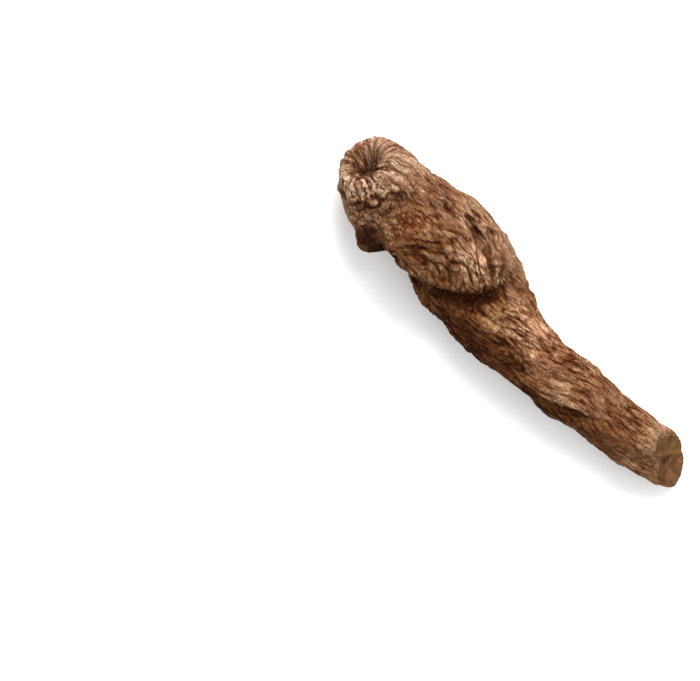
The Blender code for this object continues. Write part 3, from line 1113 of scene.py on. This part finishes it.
# Painted shade: a dark band just below the free edge of the lobe, a darker strip along the cleft, and
# darker skin below the edge of the flap.
def shade_in_hollows():
    inside, free, _ = lobe_edge(RINGS)
    on_top = soft_step(Z, 9.0, 15.0)
    below_edge = np.exp(-(((inside + UNDER_LOBE_AT) / UNDER_LOBE_WIDTH) ** 2))
    in_cleft = 1.0 - soft_step(cleft_distance(RINGS)[0], 0.3, 2.2)
    below, there = below_flap(RINGS, np.broadcast_to(AROUND, X.shape))
    under_flap = there * soft_step(below, 0.0, 1.0) * (1.0 - soft_step(below, 5.0, 10.0))
    return 1.6 * below_edge * free * on_top, 0.45 * in_cleft * on_top, 0.6 * under_flap


# Painted shade in the sunken scar: dark on its floor and a little darker on its far wall.
def shade_in_scar():
    from_floor = np.hypot((SCAR_LENGTHWAYS + 0.8) / 1.8, SCAR_DOWNWARDS - 0.5)
    uneven = from_floor + 1.5 * read_noise(RINGS / 1.5, 121.0)
    in_scar = (1.0 - soft_step(uneven, 1.0, 3.6)) * CROWN_MASK
    far_wall = (1.0 - soft_step(SCAR_RADIUS, 4.0, 8.5)) * soft_step(-SCAR_DOWNWARDS, -2.0, 2.0)
    return in_scar, 0.25 * far_wall * CROWN_MASK


# Painted shade on the underside of the shoulder and on the lower side of the neck. The thin layer on the
# shoulder and the tail is soil, and the table of marks holds stains and some painted shade.
def dirt_and_shade_on_skin():
    underside = soft_step(NORMALS @ unit(SHADED_SIDE), 0.0, 0.9) * soft_step(X, -42.0, -22.0)
    lower_neck = soft_step(-Y, 3.0, 11.0) * soft_step(X, -32.0, -22.0) * (1.0 - soft_step(X, 2.0, 14.0))
    shoulder = soft_step(X, -56.0, -50.0) * (1.0 - soft_step(X, -26.0, -18.0))
    tail = soft_step(X, 22.0, 32.0) * (1.0 - soft_step(X, 44.0, 56.0))
    thin_layer = np.maximum(0.13 * shoulder, 0.22 * tail)
    return 0.72 * underside * (1.0 - PEELED), 0.65 * lower_neck, thin_layer + marks(STAINS_AND_SHADE)


LAYERS = (*shade_in_hollows(), *shade_in_scar(), *dirt_and_shade_on_skin())
DIRT_AND_SHADE = np.clip(np.max(LAYERS, axis=0), 0.0, 1.0)
print("layers of dirt", len(LAYERS), "mean", DIRT_AND_SHADE.mean().round(2))

# %% [markdown]
# ## Where the skin is rubbed
#
# The head, the teeth, the flap, the top of the neck and the peeled strip beside the cut stand out,
# so they were rubbed in the sack and are paler. Above 1 the value bleaches the tears as well.

# %% Rubbed places
MOST_PALE = 3.0


def pale():
    head = 0.5 * (1.0 - soft_step(X, -64.0, -50.0))
    teeth = 1.4 * CROWN_MASK * soft_step(SCAR_DOWNWARDS, 4.0, 6.0)
    below, there = below_flap(RINGS, np.broadcast_to(AROUND, X.shape))
    on_flap = 0.8 * there * np.exp(-(((below + 2.5) / 3.2) ** 2))
    neck = 0.8 * soft_step(X, -16.0, -6.0) * (1.0 - soft_step(X, 4.0, 14.0)) * soft_step(Y, -7.0, -1.0)
    peeled = 2.0 * PEELED * (1.0 - CUT_MASK)
    layers = (head + teeth, on_flap, neck, marks(RUBBED), peeled)
    return np.clip(np.max(layers, axis=0), 0.0, MOST_PALE)


PALE = pale()
print("rubbed on average", PALE.mean().round(2))

# %% [markdown]
# ## Where the skin is greyer
#
# The crown weathered above the ground, so it has lost some of its red. So has the far flank of
# the shoulder, but less.

# %% Greyer places
FLANK_GREY = 0.6
GREY_CROWN = 1.0 - soft_step(X, -66.0, -48.0)
GREY_FLANK = FLANK_GREY * soft_step(Y, 3.0, 9.0) * (1.0 - soft_step(X, -20.0, -5.0))
GREY = np.maximum(GREY_CROWN, GREY_FLANK)
print("grey on average", GREY.mean().round(2))

# %% [markdown]
# ## From rings to a mesh
#
# Faces join each ring to the next one, and a fan of triangles around a tip closes each end. The
# tip takes the mean of the ring around it, for its place as for every other value.

# %% Faces and tips


def skin_faces(rows):
    index = np.arange(rows * POINTS_AROUND).reshape(rows, POINTS_AROUND)
    after = np.roll(index, -1, axis=1)
    quads = np.stack([index[:-1], after[:-1], after[1:], index[1:]], axis=-1).reshape(-1, 4)
    first, last = rows * POINTS_AROUND, rows * POINTS_AROUND + 1
    front = [(first, int(b), int(a)) for a, b in zip(index[0], after[0])]
    back = [(last, int(a), int(b)) for a, b in zip(index[-1], after[-1])]
    return quads.tolist() + front + back


def with_tips(values):
    """The values of all points, and of the two tips."""
    flat = values.reshape(-1, *values.shape[2:])
    return np.concatenate([flat, [values[0].mean(axis=0)], [values[-1].mean(axis=0)]])


FACES = skin_faces(len(RINGS))
print("faces", len(FACES))

# %% [markdown]
# The numbers that the material needs become attributes of the mesh: the depth of the tears, the
# masks, and the place in the grain, which lets fine fibres in the material follow the strands.
# The volume is a good test of the mesh: with faces turned inside out it would be too small.

# %% Build the mesh
# A millilitre in cubic metres.
ML = 1e-6
# The darkening number holds soil, stains and painted shade.
NUMBERS = {"depth": DEPTH, "cut": BARE, "olive": OLIVE, "dirt": DIRT_AND_SHADE, "pale": PALE, "grey": GREY}


def build_root():
    points = with_tips(RINGS) * MM + np.array(TABLE_ZERO)
    mesh = bpy.data.meshes.new("fine_root")
    mesh.from_pydata(points.tolist(), [], FACES)
    mesh.validate()
    mesh.shade_smooth()
    for name, values in NUMBERS.items():
        layer = mesh.attributes.new(name, "FLOAT", "POINT")
        layer.data.foreach_set("value", with_tips(values).astype(np.float32))
    layer = mesh.attributes.new("grain", "FLOAT_VECTOR", "POINT")
    layer.data.foreach_set("vector", with_tips(GRAIN).astype(np.float32).ravel())
    root = bpy.data.objects.new("fine_root", mesh)
    bpy.context.scene.collection.objects.link(root)
    return root


ROOT = build_root()
TRIANGLES = sum(len(face.vertices) - 2 for face in ROOT.data.polygons)
VOLUME = sum(face.area * face.center.dot(face.normal) for face in ROOT.data.polygons) / 3.0
print("triangles", TRIANGLES, "volume in ml", round(VOLUME / ML, 1))
print("size in mm", (np.array(ROOT.dimensions) / MM).round(1))

# %% [markdown]
# ## Writing shader maths as sums
#
# A material is a graph of nodes. Adding each Math node by hand hides what is computed, so one
# small class wraps the output of a node, and its operators add the Math node for us: we can then
# write 1 - mask, or depth * 2, as on paper.

# %% A socket that can be added and multiplied


class Socket:
    """An output of a node, on which sums are written as on paper."""

    def __init__(self, tree, output):
        self.tree = tree
        self.output = output

    def maths(self, operation, *values, clamp=False):
        return self.tree.node("ShaderNodeMath", {"operation": operation, "use_clamp": clamp}, values)

    def __add__(self, other):
        return self.maths("ADD", self, other)

    def __radd__(self, other):
        return self.maths("ADD", other, self)

    def __sub__(self, other):
        return self.maths("SUBTRACT", self, other)

    def __rsub__(self, other):
        return self.maths("SUBTRACT", other, self)

    def __mul__(self, other):
        return self.maths("MULTIPLY", self, other)

    def __rmul__(self, other):
        return self.maths("MULTIPLY", other, self)

    def clamped(self):
        return self.maths("ADD", self, 0.0, clamp=True)


SUMS = ("add__", "sub__", "mul__")
print("sums that a socket knows", [name for name in vars(Socket) if name.endswith(SUMS)])

# %% [markdown]
# Every other node comes from the method `node` of a second class. It takes the kind of node, its
# settings, which are set first because they decide which sockets there are, and what goes into
# those sockets.

# %% A tree that grows nodes


class Tree:
    """The node tree of one material, with a short way to add each kind of node."""

    def __init__(self, name):
        self.material = bpy.data.materials.new(name)
        self.material.use_nodes = True
        self.nodes = self.material.node_tree.nodes
        self.links = self.material.node_tree.links
        self.shader = self.nodes["Principled BSDF"]

    def feed(self, socket, value):
        if isinstance(value, Socket):
            self.links.new(value.output, socket)
        else:
            socket.default_value = value

    def node(self, kind, settings=None, inputs=(), output=0):
        made = self.nodes.new(kind)
        for name, value in (settings or {}).items():
            if name == "stops":
                self.set_stops(made.color_ramp, value)
            else:
                setattr(made, name, value)
        pairs = inputs.items() if isinstance(inputs, dict) else enumerate(inputs)
        for name, value in pairs:
            self.feed(made.inputs[name], value)
        return Socket(self, made.outputs[output])

    def set_stops(self, ramp, stops):
        while len(ramp.elements) > len(stops):
            ramp.elements.remove(ramp.elements[-1])
        while len(ramp.elements) < len(stops):
            ramp.elements.new(1.0)
        for element, (position, colour) in zip(ramp.elements, stops):
            element.position = position
            element.color = (*colour, 1.0)


print("methods of a tree", [name for name in vars(Tree) if not name.startswith("_")])

# %% [markdown]
# The kinds of node that this material uses most get short names. Colours go through a Mix node,
# because a Math node would turn them grey, and places go through Vector Math.

# %% Short names for the common nodes


class SkinTree(Tree):
    """A node tree with the kinds of node that bark needs."""

    def attribute(self, name, output="Fac"):
        return self.node("ShaderNodeAttribute", {"attribute_name": name}, output=output)

    def mix(self, factor, a, b, blend="MIX"):
        settings = {"data_type": "RGBA", "blend_type": blend}
        return self.node("ShaderNodeMix", settings, {0: factor, 6: a, 7: b}, output=2)

    def scaled(self, vector, scales):
        return self.node("ShaderNodeVectorMath", {"operation": "MULTIPLY"}, [vector, scales])

    def noise(self, place, scale, detail=3.0, roughness=0.55):
        inputs = {"Vector": place, "Scale": scale, "Detail": detail, "Roughness": roughness}
        return self.node("ShaderNodeTexNoise", {}, inputs)

    def ramp(self, factor, stops):
        return self.node("ShaderNodeValToRGB", {"stops": stops}, [factor])


TREE = SkinTree("root_skin")
print("nodes to start with", [node.name for node in TREE.nodes])

# %% [markdown]
# ## The browns of the root
#
# Colours are easiest to judge as a screen shows them, from 0 to 255, but a shader computes with
# linear values, so they are converted. Dry costus skin is a matt brown that leans to red: the
# ridges are rubbed pale tan, and the tears keep the dark of the inner bark and some soil. The
# darkest browns also carry painted shade, in the tears and wherever shade is painted. The
# flesh on the cut is a duller, olive brown.

# %% Colours


def srgb(red, green, blue):
    """A colour as a screen shows it, from 0 to 255, as the linear values of a shader."""
    shares = (value / 255.0 for value in (red, green, blue))
    return tuple(s / 12.92 if s <= 0.04045 else ((s + 0.055) / 1.055) ** 2.4 for s in shares)


SKIN_BROWNS = (
    (0.0, srgb(44, 20, 6)),
    (0.3, srgb(76, 43, 19)),
    (0.6, srgb(104, 75, 51)),
    (0.85, srgb(139, 112, 90)),
    (1.0, srgb(182, 155, 133)),
)
REDDISH_TO_PLAIN = ((0.35, srgb(232, 205, 186)), (0.65, srgb(255, 250, 240)))
OCHRE = (*srgb(132, 100, 62), 1.0)
FLESH_BROWNS = ((0.1, srgb(50, 26, 9)), (0.7, srgb(108, 73, 42)))
OLIVE_BROWN = (*srgb(92, 68, 32), 1.0)
print("a middle brown is", [round(value, 3) for value in SKIN_BROWNS[2][1]])

# %% [markdown]
# ## From depth to brightness
#
# One number, the level, says how bright the skin is at a point: from 0 for the bottom of a deep,
# shaded tear to 1 for a rubbed ridge. It falls with the depth of the tears, which paints shade
# into them over the dark of the inner bark, and with soil and painted shade. Fine fibres that
# follow the grain, and specks too small for the mesh, move it up and down.

# %% Level of the skin
PLACE = TREE.node("ShaderNodeTexCoord", output="Object")
DEEP = TREE.attribute("depth")
FIBRE_SQUEEZE = (0.35, 2.2, 2.2)
SPECKS_PER_M = 1300.0
PLAIN_LEVEL = 0.9
# How much deeper tears, and soil with painted shade, darken the level.
DEPTH_DARKENS, DIRT_AND_SHADE_DARKENS = 0.95, 0.62
RUBBING_BLEACHES = 0.13
FIBRES_VARY, SPECKS_VARY = 0.7, 0.8


# Deeper tears are darker, partly from the dark inner bark and partly as painted shade.
def skin_level(fibres, specks):
    level = (PLAIN_LEVEL - DEEP * DEPTH_DARKENS) + (fibres - 0.5) * FIBRES_VARY
    level = level + (specks - 0.5) * SPECKS_VARY
    return level + TREE.attribute("pale") * RUBBING_BLEACHES - TREE.attribute("dirt") * DIRT_AND_SHADE_DARKENS


FIBRES = TREE.noise(TREE.scaled(TREE.attribute("grain", "Vector"), FIBRE_SQUEEZE), 1.0, 4.0, 0.65)
SPECKS = TREE.noise(PLACE, SPECKS_PER_M, 3.0, 0.7)
LEVEL = skin_level(FIBRES, SPECKS)
print("nodes for the level", len(TREE.nodes))

# %% [markdown]
# ## The colour of the skin and of the cut
#
# A ramp turns the level into a brown. Large patches are then tinted reddish, small ones ochre, and
# the weathered places lose some of their colour. The cut gets a ramp of its own, from streaks and
# depth, which paints shade into its cracks and streaks, and the strip beyond its ridge is olive.

# %% Mix the colours
PATCHES_PER_M, OCHRE_PER_M, STREAKS_PER_M = 90.0, 160.0, 500.0
OCHRE_STRENGTH = 0.35
OLIVE_STRENGTH = 0.4
GREY_STRENGTH = 0.09
CUT_DARKENS, CUT_BLEACHES = 0.6, 0.25


def skin_colour():
    colour = TREE.ramp(LEVEL.clamped(), SKIN_BROWNS)
    warm = TREE.ramp(TREE.noise(PLACE, PATCHES_PER_M, 3.0, 0.5), REDDISH_TO_PLAIN)
    colour = TREE.mix(1.0, colour, warm, "MULTIPLY")
    in_ochre = ((TREE.noise(PLACE, OCHRE_PER_M, 3.0, 0.6) - 0.58) * 6.0).clamped()
    colour = TREE.mix(in_ochre * OCHRE_STRENGTH, colour, OCHRE)
    saturation = 1.0 - TREE.attribute("grey") * GREY_STRENGTH
    return TREE.node("ShaderNodeHueSaturation", {}, {"Saturation": saturation, "Color": colour})


# Deeper cracks and streaks on the cut are darker, as painted shade.
def flesh_colour():
    bright = TREE.noise(PLACE, STREAKS_PER_M, 5.0, 0.65) - DEEP * CUT_DARKENS
    flesh = TREE.ramp(bright + TREE.attribute("pale") * CUT_BLEACHES, FLESH_BROWNS)
    return TREE.mix(TREE.attribute("olive") * OLIVE_STRENGTH, flesh, OLIVE_BROWN)


COLOUR = TREE.mix(TREE.attribute("cut"), skin_colour(), flesh_colour())
print("nodes for the colour", len(TREE.nodes))

# %% [markdown]
# ## The finish
#
# Dry bark is matt, so it is rough and has hardly any sheen, and the rubbed ridges are a little
# smoother than the tears. Only the finest fibres and specks, which are smaller than a face of the
# mesh, are left to a bump.

# %% Finish of the skin
ROUGH, SMOOTHED_BY_RUBBING = 0.95, 0.2
SHEEN = 0.06
SPECKS_IN_BUMP = 0.6
BUMP_STRENGTH = 0.8
BUMP_HEIGHT = 0.5 * MM
SKIN = TREE.material
BUMP = {"Strength": BUMP_STRENGTH, "Distance": BUMP_HEIGHT, "Height": FIBRES + SPECKS * SPECKS_IN_BUMP}
TREE.feed(TREE.shader.inputs["Base Color"], COLOUR)
TREE.feed(TREE.shader.inputs["Roughness"], ROUGH - LEVEL.clamped() * SMOOTHED_BY_RUBBING)
TREE.feed(TREE.shader.inputs["Normal"], TREE.node("ShaderNodeBump", {}, BUMP))
TREE.shader.inputs["Specular IOR Level"].default_value = SHEEN
ROOT.data.materials.append(SKIN)
print("nodes in the skin", len(SKIN.node_tree.nodes))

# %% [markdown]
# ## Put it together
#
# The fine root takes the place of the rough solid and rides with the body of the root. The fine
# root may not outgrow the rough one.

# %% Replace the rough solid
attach(ROOT, "root")
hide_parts(NODE)
